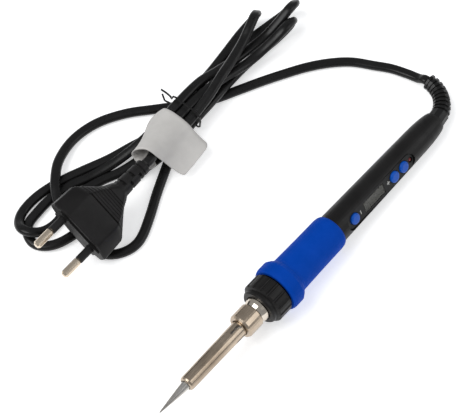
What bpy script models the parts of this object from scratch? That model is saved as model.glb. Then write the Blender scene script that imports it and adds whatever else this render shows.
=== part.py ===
"""Digital soldering iron with a silicone grip, a control panel and a folded mains lead.

Lengths are written in millimetres and multiplied by MM. The iron is turned and
assembled about its own long axis, measured from the point of the tip, and the whole
iron is then laid on the surface z = 0, resting on its front collar and on its tail.
"""
import math

import bmesh
import bpy
from mathutils import Matrix, Vector

MM = 0.001

# ---- where the iron lies ----------------------------------------------------------
COLLAR_RADIUS = 12.0          # silicone collar, the thickest part of the iron
COLLAR_END = 84.5             # last place along the axis where the collar is full size
TAIL_RADIUS = 6.6             # radius of the handle where its tail meets the surface
TAIL_PLACE = 190.0
TIP_POINT_X = -109.3          # world X of the point of the tip
AXIS_Y = -2.1                 # world Y of the iron's axis
TILT = math.atan2(COLLAR_RADIUS - TAIL_RADIUS, TAIL_PLACE - COLLAR_END)
TIP_POINT_Z = COLLAR_RADIUS * math.cos(TILT) + COLLAR_END * math.sin(TILT)
PANEL_ROLL = math.radians(60.0)   # the panel faces this far from straight up, towards -Y

# ---- hot end, along the axis from the point of the tip ------------------------------
TIP_SHOULDER = 18.0
TIP_END = 44.0
TIP_BODY_RADIUS = 3.05
BARREL_MOUTH = 16.4
BARREL_FLANGE = 56.0
SLOT_COUNT = 4
SLOT_FRONT = 47.0
SLOT_REAR = 52.8
SLOT_WIDTH = 1.1
HOOK_REACH = 1.7               # the slots turn sideways by this much at their rear end
NUT_FRONT = 53.6
NUT_REAR = 62.5
NUT_RADIUS = 6.3
COLLAR_SEAT_FRONT = 57.4
HEATER_FRONT = 29.0
HEATER_REAR = 79.0
HEATER_RADIUS = 1.8

# ---- union nut and grip -----------------------------------------------------------
UNION_FRONT = 66.6
UNION_REAR = 77.4
UNION_RADIUS = 10.75
UNION_NOSE_RADIUS = 9.1
FLUTE_COUNT = 16
FLUTE_RADIUS = 0.8
GRIP_FRONT = 78.2
GRIP_REAR = 119.9

# ---- handle -----------------------------------------------------------------------
HANDLE_FRONT = 70.6
HANDLE_REAR = 199.5
COVER_FRONT = 92.0
COVER_REAR = 192.4
COVER_PLANE = -3.6            # height of the split, along the panel's normal
GAP = 0.3

# ---- control panel, heights along its normal from the iron's axis -------------------
POCKET_FRONT = 124.2
POCKET_REAR = 175.2
POCKET_HALF_WIDTH = 4.2
POCKET_FLOOR = 5.3
SLAB_BOTTOM = 4.1
OVERLAY_TOP = 5.85
OVERLAY_THICKNESS = 0.35
BUTTON_PLACES = {"minus": 130.3, "plus": 160.4, "power": 167.6}
BUTTON_RADIUS = 2.85
BUTTON_HOLE_RADIUS = 3.15
BUTTON_TOP = 7.0
LED_PLACE = 172.8
LED_RADIUS = 1.15
WINDOW_CENTRE = 145.2
WINDOW_LENGTH = 15.0
WINDOW_WIDTH = 5.4

# ---- circuit board ----------------------------------------------------------------
BOARD_FRONT = 96.0
BOARD_REAR = 182.2
BOARD_HALF_WIDTH = 5.0
BOARD_THICKNESS = 1.0
CLAMP_PLACE = 179.2
COVER_SCREW_PLACE = 185.5

# ---- strain relief: straight through the tail, then a quarter turn towards +Y ---------
BOOT_STRAIGHT = 0.5
BOOT_BEND_RADIUS = 15.5
BOOT_BEND_ANGLE = math.radians(92.0)
BOOT_RIB_COUNT = 9
BOOT_BASE_RADIUS = 4.6
BOOT_END_RADIUS = 4.0
BOOT_GROOVE_DEPTH = 0.7
BOOT_STANDOFF = 0.4

# ---- mains lead, plug, tie and label ------------------------------------------------
CORD_RADIUS = 2.15
CORD_TOLERANCE = 0.45             # how far the tube may stray from the smooth route
FINE_TOLERANCE = 0.2
PLUG_FACE = (-67.7, 83.8, 17.8)
PLUG_ROLL = math.radians(32.0)
PIN_SPACING = 18.4
PIN_LENGTH = 19.0
PIN_RADIUS = 2.0
SLEEVE_LENGTH = 10.0
PLUG_BOOT_END = 46.0
TIE_X = 16.9
TIE_WIRE_RADIUS = 0.5
LABEL_THICKNESS = 0.3

# The lead's route from the iron to the plug, chosen by hand, in millimetres. It lies on
# the surface with its middle about 2.3 above it, and passes over itself on low humps.
CORD_ROUTE = [
    # out of the strain relief and along the surface
    (106.1, 19.2, 3.9), (105.3, 26.0, 2.7), (103.1, 33.5, 2.3), (99.1, 41.1, 2.3),
    (93.8, 50.7, 2.3), (86.5, 58.6, 2.3), (77.5, 65.6, 2.3), (67.5, 71.6, 2.3),
    (57.5, 77.1, 2.3), (46.5, 82.6, 2.3), (35.5, 88.1, 2.3), (27.3, 93.5, 2.3),
    (20.1, 99.6, 2.3), (11.9, 106.9, 2.3), (0.9, 116.2, 2.3), (-12.1, 123.2, 2.3),
    (-26.1, 125.2, 3.2), (-39.7, 121.8, 5.6),
    # over the two left loops and under the plug
    (-49.4, 115.3, 7.1), (-55.9, 108.5, 7.1), (-60.1, 101.3, 7.1), (-62.4, 93.8, 7.0),
    (-63.8, 86.6, 6.8), (-64.1, 79.4, 4.0), (-62.2, 73.0, 2.5), (-57.6, 68.2, 2.3),
    (-51.1, 65.6, 2.3), (-44.0, 66.2, 2.3), (-33.5, 70.5, 2.3), (-22.5, 75.8, 2.3),
    (-11.3, 80.3, 3.7), (-1.1, 83.7, 7.4), (7.9, 86.0, 10.4),
    # through the tie, over the other runs, to the first upper fold
    (16.9, 86.3, 11.9), (28.9, 87.0, 14.0), (40.9, 89.0, 15.6), (51.9, 91.5, 14.2),
    (62.9, 94.2, 13.6), (70.9, 96.5, 15.4), (76.7, 98.4, 16.0), (80.9, 100.2, 12.6),
    (81.3, 101.6, 7.6), (77.5, 102.8, 3.6), (70.9, 102.8, 2.4), (60.9, 101.6, 2.3),
    # back through the tie and round the outer left loop
    (47.9, 100.0, 2.5), (36.4, 98.4, 4.6), (26.9, 97.0, 7.0), (17.4, 96.3, 7.3),
    (7.9, 96.5, 5.6), (-2.1, 98.2, 3.6), (-12.1, 101.6, 3.1), (-23.3, 105.4, 2.45),
    (-35.3, 110.5, 2.3), (-47.3, 115.1, 2.3), (-59.3, 117.8, 2.3), (-69.2, 117.6, 2.4),
    (-75.7, 114.4, 4.2), (-78.5, 109.4, 6.8), (-76.5, 104.3, 6.8), (-71.5, 102.0, 4.2),
    (-64.7, 101.4, 2.4), (-57.5, 102.4, 2.3), (-49.1, 104.3, 2.3),
    # third run, through the tie to the second upper fold
    (-35.1, 100.7, 2.3), (-25.1, 96.5, 2.5), (-15.1, 93.8, 2.95), (-5.1, 92.0, 3.2),
    (5.9, 91.3, 5.0), (16.9, 91.3, 6.9), (26.9, 91.8, 7.1), (35.9, 92.7, 5.6),
    (45.9, 94.6, 3.0), (57.9, 96.6, 2.3), (70.9, 97.3, 2.3), (84.9, 95.3, 2.3),
    (93.3, 93.3, 3.7), (97.9, 91.4, 8.0), (97.1, 89.3, 13.2), (91.7, 88.4, 15.6),
    (84.9, 88.8, 12.6), (76.4, 90.2, 8.2), (65.9, 91.8, 7.2),
    # back over the bundle and round the inner left loop
    (53.9, 93.6, 7.4), (43.9, 95.4, 8.4), (34.9, 96.5, 10.8), (25.9, 96.5, 12.1),
    (16.9, 96.3, 12.2), (6.9, 96.6, 10.6), (-3.1, 97.3, 8.2), (-13.1, 98.6, 6.4),
    (-24.1, 101.5, 3.9), (-35.1, 105.4, 2.4), (-46.1, 110.0, 2.3), (-57.1, 112.1, 2.3),
    (-66.1, 112.0, 2.3), (-73.1, 111.0, 2.3), (-77.5, 107.4, 2.3), (-79.1, 102.2, 2.3),
    (-76.8, 97.2, 2.3), (-71.5, 93.4, 2.3), (-63.5, 91.0, 2.3), (-54.1, 90.2, 2.3),
    # last run, through the tie to the third upper fold, and back to the plug
    (-43.1, 90.0, 2.3), (-31.1, 91.3, 2.4), (-19.1, 89.3, 2.85), (-7.1, 87.3, 3.1),
    (4.9, 86.3, 4.6), (16.9, 86.3, 6.9), (26.9, 86.5, 7.4), (36.9, 87.1, 7.1),
    (46.9, 88.4, 4.6), (57.9, 89.2, 2.7), (68.9, 88.7, 2.3), (78.9, 87.8, 2.3),
    (86.3, 86.8, 4.0), (89.9, 85.2, 8.6), (87.7, 83.7, 13.4), (81.9, 83.3, 14.6),
    (74.9, 84.3, 11.8), (65.9, 86.0, 8.6), (57.9, 87.3, 7.6), (48.9, 88.8, 8.8),
    (38.9, 90.2, 10.4), (27.9, 91.0, 11.8), (16.9, 91.3, 11.9), (6.9, 90.9, 11.8),
    (-3.1, 88.9, 13.4), (-12.1, 85.6, 16.4), (-17.1, 83.8, 17.8),
]

OBJECT_NAME = "soldering_iron"

# ---- collections: one for the parts, one for the bodies that cut them ---------------
for old in list(bpy.data.objects):
    bpy.data.objects.remove(old, do_unlink=True)
parts = bpy.data.collections.new(OBJECT_NAME)
cutters = bpy.data.collections.new("cutters")
bpy.context.scene.collection.children.link(parts)
bpy.context.scene.collection.children.link(cutters)


# ---- materials --------------------------------------------------------------------
def material(name, colour, roughness, metallic=0.0, alpha=1.0):
    made = bpy.data.materials.new(name)
    made.use_nodes = True
    shader = made.node_tree.nodes["Principled BSDF"]
    shader.inputs["Base Color"].default_value = (*colour, 1.0)
    shader.inputs["Roughness"].default_value = roughness
    shader.inputs["Metallic"].default_value = metallic
    shader.inputs["Alpha"].default_value = alpha
    return made


NICKEL = ("nickel plate", (0.60, 0.56, 0.50), 0.25, 1.0)
CHROME = ("tip plating", (0.72, 0.72, 0.72), 0.18, 1.0)
BLACK = ("black plastic", (0.025, 0.024, 0.022), 0.45)
BLUE = ("blue silicone", (0.0, 0.07, 0.50), 0.55)
BUTTON_BLUE = ("blue button", (0.0, 0.09, 0.60), 0.35)
PANEL = ("panel grey", (0.06, 0.06, 0.06), 0.5)
PVC = ("black flexible plastic", (0.02, 0.02, 0.02), 0.4)
CERAMIC = ("white ceramic", (0.85, 0.83, 0.78), 0.5)
BOARD = ("circuit board green", (0.02, 0.16, 0.06), 0.45)
STEEL = ("screw steel", (0.55, 0.55, 0.55), 0.35, 1.0)
CHIP = ("chip black", (0.03, 0.03, 0.03), 0.5)
PAPER = ("label white", (0.80, 0.79, 0.76), 0.6)


# ---- builders ---------------------------------------------------------------------
def add_object(name, mesh, finish, parent=None, collection=parts):
    made = bpy.data.objects.new(name, mesh)
    collection.objects.link(made)
    made.parent = parent
    if finish:
        mesh.materials.append(material(name + " " + finish[0], *finish[1:]))
    return made


def empty(name, location, rotation, parent=None):
    made = bpy.data.objects.new(name, None)
    parts.objects.link(made)
    made.location = location
    made.rotation_euler = rotation
    made.parent = parent
    return made


def mesh_from(bm, name):
    mesh = bpy.data.meshes.new(name)
    bmesh.ops.recalc_face_normals(bm, faces=bm.faces)
    bm.to_mesh(mesh)
    bm.free()
    return mesh


def turned(name, profile, finish, steps=32, parent=None, collection=parts):
    """A body turned about the iron's axis. The profile is (place, radius) in mm, and
    runs towards the tip on the outside and back on the inside."""
    bm = bmesh.new()
    on_axis = profile[0][1] == 0.0
    ring = [bm.verts.new((radius * MM, 0.0, place * MM)) for place, radius in profile]
    for one, two in zip(ring, ring[1:]):
        bm.edges.new((one, two))
    if not on_axis:
        bm.edges.new((ring[-1], ring[0]))
    mesh = bpy.data.meshes.new(name)
    bm.to_mesh(mesh)
    bm.free()
    made = add_object(name, mesh, finish, parent, collection)
    made.rotation_euler = (0.0, math.pi / 2, 0.0)
    screw = made.modifiers.new("turn", "SCREW")
    screw.axis = "Z"
    screw.angle = 2 * math.pi
    screw.steps = steps
    screw.render_steps = steps
    screw.use_merge_vertices = True
    screw.merge_threshold = 0.00001
    screw.use_smooth_shade = True
    return made


def box_mesh(name, low, high):
    bm = bmesh.new()
    size = [(b - a) * MM for a, b in zip(low, high)]
    middle = [(a + b) / 2 * MM for a, b in zip(low, high)]
    matrix = Matrix.Translation(middle) @ Matrix.Diagonal((*size, 1.0))
    bmesh.ops.create_cube(bm, size=1.0, matrix=matrix)
    return mesh_from(bm, name)


def box(name, low, high, finish, parent, bevel=0.0, collection=parts):
    made = add_object(name, box_mesh(name, low, high), finish, parent, collection)
    if bevel:
        soften(made, bevel)
    return made


def soften(made, width, segments=1):
    bevel = made.modifiers.new("soft edge", "BEVEL")
    bevel.width = width * MM
    bevel.segments = segments
    bevel.limit_method = "ANGLE"
    bevel.angle_limit = math.radians(40)


def rod_mesh(name, start, end, radius, sides=20, end_radius=None):
    """A round rod between two points, in mm."""
    one = Vector(start) * MM
    two = Vector(end) * MM
    turn = (two - one).to_track_quat("Z", "Y").to_matrix().to_4x4()
    matrix = Matrix.Translation((one + two) / 2) @ turn
    far = radius if end_radius is None else end_radius
    bm = bmesh.new()
    bmesh.ops.create_cone(bm, cap_ends=True, segments=sides, radius1=radius * MM,
                          radius2=far * MM, depth=(two - one).length, matrix=matrix)
    return mesh_from(bm, name)


def rod(name, start, end, radius, finish, parent, sides=20, collection=parts, end_radius=None):
    mesh = rod_mesh(name, start, end, radius, sides, end_radius)
    return add_object(name, mesh, finish, parent, collection)


def prism_mesh(name, outline, low, high):
    """An outline of (x, y) points raised from one height to another, in mm."""
    bm = bmesh.new()
    corners = [bm.verts.new((x * MM, y * MM, low * MM)) for x, y in outline]
    face = bm.faces.new(corners)
    grown = bmesh.ops.extrude_face_region(bm, geom=[face])
    lifted = [item for item in grown["geom"] if isinstance(item, bmesh.types.BMVert)]
    bmesh.ops.translate(bm, verts=lifted, vec=(0, 0, (high - low) * MM))
    return mesh_from(bm, name)


def cutter_of(name, meshes, parent):
    """One cutter from several meshes that don't touch each other."""
    bm = bmesh.new()
    for mesh in meshes:
        bm.from_mesh(mesh)
        bpy.data.meshes.remove(mesh)
    made = add_object(name, mesh_from(bm, name), None, parent, cutters)
    made.hide_render = True
    made.display_type = "WIRE"
    return made


def combine(made, tool, operation):
    step = made.modifiers.new(operation.lower(), "BOOLEAN")
    step.operation = operation
    step.solver = "EXACT"
    step.object = tool


def smooth_path(points):
    """A dense Catmull-Rom curve through the points."""
    nodes = [Vector(point) for point in points]
    first = nodes[0] * 2 - nodes[1]
    last = nodes[-1] * 2 - nodes[-2]
    line = [first, *nodes, last]
    dense = []
    for before, one, two, after in zip(line, line[1:], line[2:], line[3:]):
        steps = max(2, math.ceil((two - one).length))
        for step in range(steps):
            t = step / steps
            dense.append(0.5 * (2 * one + (two - before) * t
                                + (2 * before - 5 * one + 4 * two - after) * t ** 2
                                + (3 * one - before - 3 * two + after) * t ** 3))
    return [*dense, nodes[-1]]


def strays(dense, start, end):
    """How far the dense curve strays from the straight line between two of its points."""
    line = dense[end] - dense[start]
    direction = line.normalized()
    between = [point - dense[start] for point in dense[start + 1:end]]
    return max([(point - direction * point.dot(direction)).length for point in between],
               default=0.0)


def thinned(dense, tolerance):
    """The fewest points of the dense curve that stay within the tolerance of it."""
    kept = [0]
    while kept[-1] < len(dense) - 1:
        reach = kept[-1] + 1
        while reach + 1 < len(dense) and strays(dense, kept[-1], reach + 1) < tolerance:
            reach += 1
        kept.append(reach)
    return [dense[place] for place in kept]


def tube(name, points, radius, finish, parent=None, radii=None, resolution=2):
    """A round tube along points in mm, as a mesh with welded caps."""
    curve = bpy.data.curves.new(name, "CURVE")
    curve.dimensions = "3D"
    curve.bevel_depth = radius * MM
    curve.bevel_resolution = resolution
    curve.use_fill_caps = True
    spline = curve.splines.new("POLY")
    spline.points.add(len(points) - 1)
    for place, point in enumerate(points):
        spline.points[place].co = (*(Vector(point) * MM), 1.0)
        spline.points[place].radius = radii[place] if radii else 1.0
    guide = bpy.data.objects.new(name + " guide", curve)
    cutters.objects.link(guide)
    bpy.context.view_layer.update()
    mesh = bpy.data.meshes.new_from_object(guide.evaluated_get(
        bpy.context.evaluated_depsgraph_get()))
    bpy.data.objects.remove(guide, do_unlink=True)
    bm = bmesh.new()
    bm.from_mesh(mesh)
    bmesh.ops.remove_doubles(bm, verts=bm.verts, dist=0.000001)
    bpy.data.meshes.remove(mesh)
    made = add_object(name, mesh_from(bm, name), finish, parent)
    made.data.shade_smooth()
    return made


def lofted(name, sections, finish, parent):
    """A closed body through rings of points with equal counts, in mm."""
    bm = bmesh.new()
    rings = [[bm.verts.new(Vector(point) * MM) for point in section] for section in sections]
    count = len(rings[0])
    for near, far in zip(rings, rings[1:]):
        for place in range(count):
            following = (place + 1) % count
            bm.faces.new((near[place], near[following], far[following], far[place]))
    bm.faces.new(rings[0])
    bm.faces.new(rings[-1])
    return add_object(name, mesh_from(bm, name), finish, parent)


# ---- frames -----------------------------------------------------------------------
# iron_axis: X runs from the point of the tip to the tail. panel_axis is turned about it
# until Z is the panel's normal.
iron_axis = empty("iron_axis", (TIP_POINT_X * MM, AXIS_Y * MM, TIP_POINT_Z * MM), (0, TILT, 0))
panel_axis = empty("panel_axis", (0, 0, 0), (PANEL_ROLL, 0, 0), iron_axis)
plug_axis = empty("plug_axis", Vector(PLUG_FACE) * MM, (PLUG_ROLL, 0, 0))


# ---- hot end ----------------------------------------------------------------------
def make_tip():
    """Plated copper tip: a long cone, then a hollow body that slides over the heater."""
    profile = [(TIP_END, 2.1), (TIP_END, TIP_BODY_RADIUS), (TIP_SHOULDER, TIP_BODY_RADIUS),
               (TIP_SHOULDER - 0.5, 2.4), (13.0, 1.95), (6.0, 1.15), (-0.2, 0.42),
               (-0.95, 0.3), (-1.2, 0.0)]
    bore = [(26.0, 0.0), (27.0, 2.1)]
    return turned("soldering_tip", [bore[0], bore[1], *profile], CHROME, 24, iron_axis)


def make_barrel():
    """Slotted tube that holds the tip on the heater, with a flange under its nut."""
    profile = [(BARREL_FLANGE + 1.0, 3.6), (BARREL_FLANGE + 1.0, 5.0), (BARREL_FLANGE, 5.0),
               (BARREL_FLANGE - 0.3, 3.95), (BARREL_MOUTH + 1.2, 3.75),
               (BARREL_MOUTH + 0.4, 3.5), (BARREL_MOUTH, 2.95), (BARREL_MOUTH, 2.65),
               (BARREL_MOUTH + 0.6, 2.65), (BARREL_MOUTH + 1.2, 3.35)]
    barrel = turned("barrel_tube", profile, NICKEL, 36, iron_axis)
    slots = []
    half = SLOT_WIDTH / 2
    outline = [(SLOT_FRONT, half), (SLOT_FRONT, -half), (SLOT_REAR - SLOT_WIDTH, -half),
               (SLOT_REAR - SLOT_WIDTH, -HOOK_REACH), (SLOT_REAR, -HOOK_REACH),
               (SLOT_REAR, half)]
    for place in range(SLOT_COUNT):
        slot = prism_mesh("slot", outline, 2.6, 5.0)
        slot.transform(Matrix.Rotation(2 * math.pi * place / SLOT_COUNT, 4, "X"))
        slots.append(slot)
    combine(barrel, cutter_of("barrel_slots", slots, iron_axis), "DIFFERENCE")
    return barrel


def make_barrel_nut():
    """Round nut that clamps the barrel's flange on the threaded collar."""
    profile = [(NUT_REAR, 5.45), (NUT_REAR, NUT_RADIUS - 0.3), (NUT_REAR - 0.3, NUT_RADIUS),
               (NUT_FRONT + 0.9, NUT_RADIUS), (NUT_FRONT, 5.6), (NUT_FRONT, 4.3),
               (BARREL_FLANGE - 0.5, 4.3), (BARREL_FLANGE - 0.4, 5.45)]
    return turned("barrel_nut", profile, NICKEL, 36, iron_axis)


def make_threaded_collar():
    """Metal seat of the heater: thread for the barrel nut, bright dome, and the flange
    that the union nut presses on the handle."""
    profile = [(74.0, 5.8), (74.0, 6.4), (70.3, 6.4), (70.3, 8.0), (69.4, 8.0), (69.4, 6.35),
               (66.2, 6.35), (64.6, 6.1), (63.0, 5.5), (62.9, 5.1), (COLLAR_SEAT_FRONT, 5.1),
               (COLLAR_SEAT_FRONT, 3.6), (66.0, 3.6), (66.2, 5.8)]
    return turned("threaded_collar", profile, NICKEL, 32, iron_axis)


def make_heater():
    core = [(HEATER_REAR, 0.0), (HEATER_REAR, HEATER_RADIUS),
            (HEATER_FRONT + 0.5, HEATER_RADIUS), (HEATER_FRONT, HEATER_RADIUS - 0.5),
            (HEATER_FRONT, 0.0)]
    turned("heater_core", core, CERAMIC, 20, iron_axis)
    holder = [(78.0, 2.15), (78.0, 5.3), (66.5, 5.3), (66.5, 2.15)]
    turned("heater_holder", holder, CERAMIC, 24, iron_axis)
    for place in range(4):
        side = (place - 1.5) * 1.1
        route = [(HEATER_REAR + 0.4, side * 0.85, 0.0), (83.0, side * 0.9, 0.4),
                 (88.0, side * 1.5, 1.5), (93.0, side * 2.0, 1.75), (99.0, side * 2.1, 1.75)]
        dense = smooth_path(route)
        tube("heater_lead_" + str(place + 1), thinned(dense, FINE_TOLERANCE), 0.35, CERAMIC,
             panel_axis, resolution=1)


def make_union_nut():
    """Fluted plastic nut that holds the heater's collar on the handle."""
    profile = [(UNION_REAR, 8.5), (UNION_REAR, UNION_RADIUS - 0.4),
               (UNION_REAR - 0.4, UNION_RADIUS), (UNION_FRONT + 3.3, UNION_RADIUS),
               (UNION_FRONT + 2.6, UNION_RADIUS - 0.7), (UNION_FRONT + 2.2, UNION_NOSE_RADIUS),
               (UNION_FRONT + 0.7, UNION_NOSE_RADIUS), (UNION_FRONT, UNION_NOSE_RADIUS - 0.6),
               (UNION_FRONT, 6.7), (69.0, 6.7), (69.1, 8.5)]
    nut = turned("union_nut", profile, BLACK, 48, iron_axis)
    flutes = []
    for place in range(FLUTE_COUNT):
        angle = 2 * math.pi * (place + 0.5) / FLUTE_COUNT
        side = (UNION_RADIUS + 0.1) * math.cos(angle)
        height = (UNION_RADIUS + 0.1) * math.sin(angle)
        flutes.append(rod_mesh("flute", (UNION_FRONT + 2.3, side, height),
                               (UNION_REAR + 1.0, side, height), FLUTE_RADIUS, 8))
    combine(nut, cutter_of("union_flutes", flutes, iron_axis), "DIFFERENCE")
    return nut


def make_grip():
    """Silicone sleeve with its thick front collar and a rounded tail."""
    profile = [(GRIP_REAR, 8.1), (GRIP_REAR - 0.3, 8.5), (GRIP_REAR - 1.3, 8.9),
               (GRIP_REAR - 3.0, 9.1), (104.0, 9.2), (88.8, 9.5), (87.4, 9.95),
               (86.2, 11.0), (COLLAR_END, COLLAR_RADIUS), (80.0, COLLAR_RADIUS),
               (GRIP_FRONT + 0.5, 11.6), (GRIP_FRONT, 11.2), (GRIP_FRONT, 9.9),
               (85.9, 9.9), (86.0, 8.1)]
    return turned("grip_sleeve", profile, BLUE, 40, iron_axis)


# ---- handle -----------------------------------------------------------------------
HANDLE_OUTSIDE = [(HANDLE_REAR, 5.2), (197.8, 5.7), (194.5, 6.2), (TAIL_PLACE, TAIL_RADIUS),
                  (184.0, 6.8), (165.0, 7.1), (146.0, 7.4), (122.0, 7.75), (85.6, 7.8),
                  (85.5, 9.6), (79.0, 9.6), (78.6, 8.2), (HANDLE_FRONT, 8.2)]
HANDLE_INSIDE = [(HANDLE_FRONT, 6.75), (84.0, 6.75), (85.0, 6.3), (150.0, 6.1),
                 (180.0, 5.85), (192.0, 5.4), (192.6, 3.3), (HANDLE_REAR, 3.3)]


def stadium_cutter(name, start, end, half_width, low, high, parent):
    """Slot shape with round ends, seen along the panel's normal."""
    ends = []
    for place, turn in ((end - half_width, -0.5), (start + half_width, 0.5)):
        for step in range(9):
            angle = math.pi * (turn + step / 8)
            ends.append((place + half_width * math.cos(angle), half_width * math.sin(angle)))
    return add_object(name, prism_mesh(name, ends, low, high), None, parent, cutters)


def panel_openings(name, window_margin, hole_margin, low, high):
    """Openings for the window, the three buttons and the lamp."""
    window = box_mesh("opening", (WINDOW_CENTRE - WINDOW_LENGTH / 2 - window_margin,
                                  -WINDOW_WIDTH / 2 - window_margin, low),
                      (WINDOW_CENTRE + WINDOW_LENGTH / 2 + window_margin,
                       WINDOW_WIDTH / 2 + window_margin, high))
    holes = [window]
    for place in BUTTON_PLACES.values():
        holes.append(rod_mesh("hole", (place, 0, low), (place, 0, high),
                              BUTTON_HOLE_RADIUS + hole_margin, 24))
    holes.append(rod_mesh("hole", (LED_PLACE, 0, low), (LED_PLACE, 0, high),
                          LED_RADIUS + GAP + hole_margin, 16))
    return cutter_of(name, holes, panel_axis)


def hide_tool(made):
    made.hide_render = True
    made.display_type = "WIRE"
    return made


def make_handle():
    """Main shell with the panel's pocket, and the cover that closes its back."""
    profile = [*HANDLE_OUTSIDE, *HANDLE_INSIDE]
    shell = turned("handle_shell", profile, BLACK, 40, iron_axis)
    slab = box_mesh("slab", (POCKET_FRONT - 2.0, -4.4, SLAB_BOTTOM),
                    (POCKET_REAR + 1.4, 4.4, POCKET_FLOOR + 0.05))
    combine(shell, cutter_of("panel_slab", [slab], panel_axis), "UNION")
    boss = rod_mesh("boss", (COVER_SCREW_PLACE, 0, -5.2), (COVER_SCREW_PLACE, 0, 6.1), 2.1, 16)
    combine(shell, cutter_of("screw_boss", [boss], panel_axis), "UNION")
    pocket = stadium_cutter("pocket", POCKET_FRONT, POCKET_REAR, POCKET_HALF_WIDTH,
                            POCKET_FLOOR, 12.0, panel_axis)
    combine(shell, hide_tool(pocket), "DIFFERENCE")
    combine(shell, panel_openings("shell_openings", 0.0, 0.0, 3.0, 6.5), "DIFFERENCE")
    opening = box_mesh("opening", (COVER_FRONT, -9.0, -9.0), (COVER_REAR, 9.0, COVER_PLANE))
    keep_boss = rod_mesh("keep", (COVER_SCREW_PLACE, 0, -9.5), (COVER_SCREW_PLACE, 0, -3.0),
                         2.1, 16)
    cut = cutter_of("cover_opening", [opening], panel_axis)
    combine(cut, cutter_of("boss_kept", [keep_boss], panel_axis), "DIFFERENCE")
    combine(shell, cut, "DIFFERENCE")
    low_end = box_mesh("trim", (COVER_SCREW_PLACE - 2.6, -2.6, -9.0),
                       (COVER_SCREW_PLACE + 2.6, 2.6, -5.2))
    pilot = rod_mesh("pilot", (COVER_SCREW_PLACE, 0, -6.5), (COVER_SCREW_PLACE, 0, 2.0),
                     1.05, 12)
    combine(shell, cutter_of("boss_trim", [low_end], panel_axis), "DIFFERENCE")
    combine(shell, cutter_of("boss_pilot", [pilot], panel_axis), "DIFFERENCE")

    cover = turned("back_cover", profile, BLACK, 40, iron_axis)
    kept = box_mesh("kept", (COVER_FRONT + GAP, -9.0, -9.0),
                    (COVER_REAR - GAP, 9.0, COVER_PLANE - GAP))
    combine(cover, cutter_of("cover_region", [kept], panel_axis), "INTERSECT")
    sink = rod_mesh("sink", (COVER_SCREW_PLACE, 0, -9.0), (COVER_SCREW_PLACE, 0, -6.25),
                    1.9, 20)
    combine(cover, cutter_of("screw_sink", [sink], panel_axis), "DIFFERENCE")
    through = rod_mesh("through", (COVER_SCREW_PLACE, 0, -7.0), (COVER_SCREW_PLACE, 0, -4.0),
                       1.05, 12)
    combine(cover, cutter_of("screw_through", [through], panel_axis), "DIFFERENCE")


def make_cover_screw():
    """Thin-headed screw through the back cover into the shell's boss."""
    head = rod_mesh("head", (COVER_SCREW_PLACE, 0, -6.75), (COVER_SCREW_PLACE, 0, -6.5),
                    1.6, 20)
    screw = add_object("cover_screw", head, STEEL, panel_axis)
    shank = rod_mesh("shank", (COVER_SCREW_PLACE, 0, -6.6), (COVER_SCREW_PLACE, 0, 1.0),
                     0.75, 12)
    combine(screw, cutter_of("cover_screw_shank", [shank], panel_axis), "UNION")


# ---- control panel ----------------------------------------------------------------
def make_panel():
    overlay = stadium_cutter("control_panel", POCKET_FRONT + GAP, POCKET_REAR - GAP,
                             POCKET_HALF_WIDTH - GAP, OVERLAY_TOP - OVERLAY_THICKNESS,
                             OVERLAY_TOP, panel_axis)
    cutters.objects.unlink(overlay)
    parts.objects.link(overlay)
    overlay.data.materials.append(material("control panel grey", *PANEL[1:]))
    combine(overlay, panel_openings("overlay_openings", 0.0, 0.0, 5.0, 6.5), "DIFFERENCE")
    half_length = WINDOW_LENGTH / 2 - GAP
    half_width = WINDOW_WIDTH / 2 - GAP
    window = ("clear plastic", (0.75, 0.78, 0.72), 0.1, 0.0, 0.4)
    box("lcd_window", (WINDOW_CENTRE - half_length, -half_width, 4.4),
        (WINDOW_CENTRE + half_length, half_width, 5.75), window, panel_axis)
    glass = ("display glass", (0.35, 0.37, 0.32), 0.2)
    box("lcd_glass", (WINDOW_CENTRE - 8.5, -4.2, 2.6), (WINDOW_CENTRE + 8.5, 4.2, 3.8),
        glass, panel_axis)
    box("lcd_backlight", (WINDOW_CENTRE - 8.5, -4.2, 1.3), (WINDOW_CENTRE + 8.5, 4.2, 2.3),
        PAPER, panel_axis)


def make_button(label, place):
    """Domed cap on a flange, with the tactile switch under it."""
    cap = [(BUTTON_TOP, 0.0), (BUTTON_TOP, 1.9), (BUTTON_TOP - 0.15, 2.4),
           (BUTTON_TOP - 0.5, 2.75), (BUTTON_TOP - 0.9, BUTTON_RADIUS), (3.8, BUTTON_RADIUS),
           (3.8, 3.4), (3.2, 3.4), (3.2, 0.0)]
    button = turned("button_" + label, cap, BUTTON_BLUE, 24, panel_axis)
    button.rotation_euler = (0.0, 0.0, 0.0)
    button.location = (place * MM, 0.0, 0.0)
    body = box("switch_body_" + label, (place - 2.2, -2.2, 1.3), (place + 2.2, 2.2, 2.5),
               CHIP, panel_axis)
    well = rod_mesh("well", (place, 0, 1.6), (place, 0, 3.0), 1.4, 16)
    combine(body, cutter_of("switch_well_" + label, [well], panel_axis), "DIFFERENCE")
    rod("switch_plunger_" + label, (place, 0, 2.1), (place, 0, 3.05), 1.1, CHIP, panel_axis, 16)


def make_lamp():
    """Red status lamp, standing on the board and showing through the panel."""
    profile = [(5.7, 0.0), (5.55, 0.65), (5.1, 1.0), (4.4, LED_RADIUS), (2.2, LED_RADIUS),
               (2.2, 1.45), (1.3, 1.45), (1.3, 0.0)]
    red = ("lamp red", (0.42, 0.05, 0.04), 0.3)
    lamp = turned("status_lamp", profile, red, 16, panel_axis)
    lamp.rotation_euler = (0.0, 0.0, 0.0)
    lamp.location = (LED_PLACE * MM, 0.0, 0.0)


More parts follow.
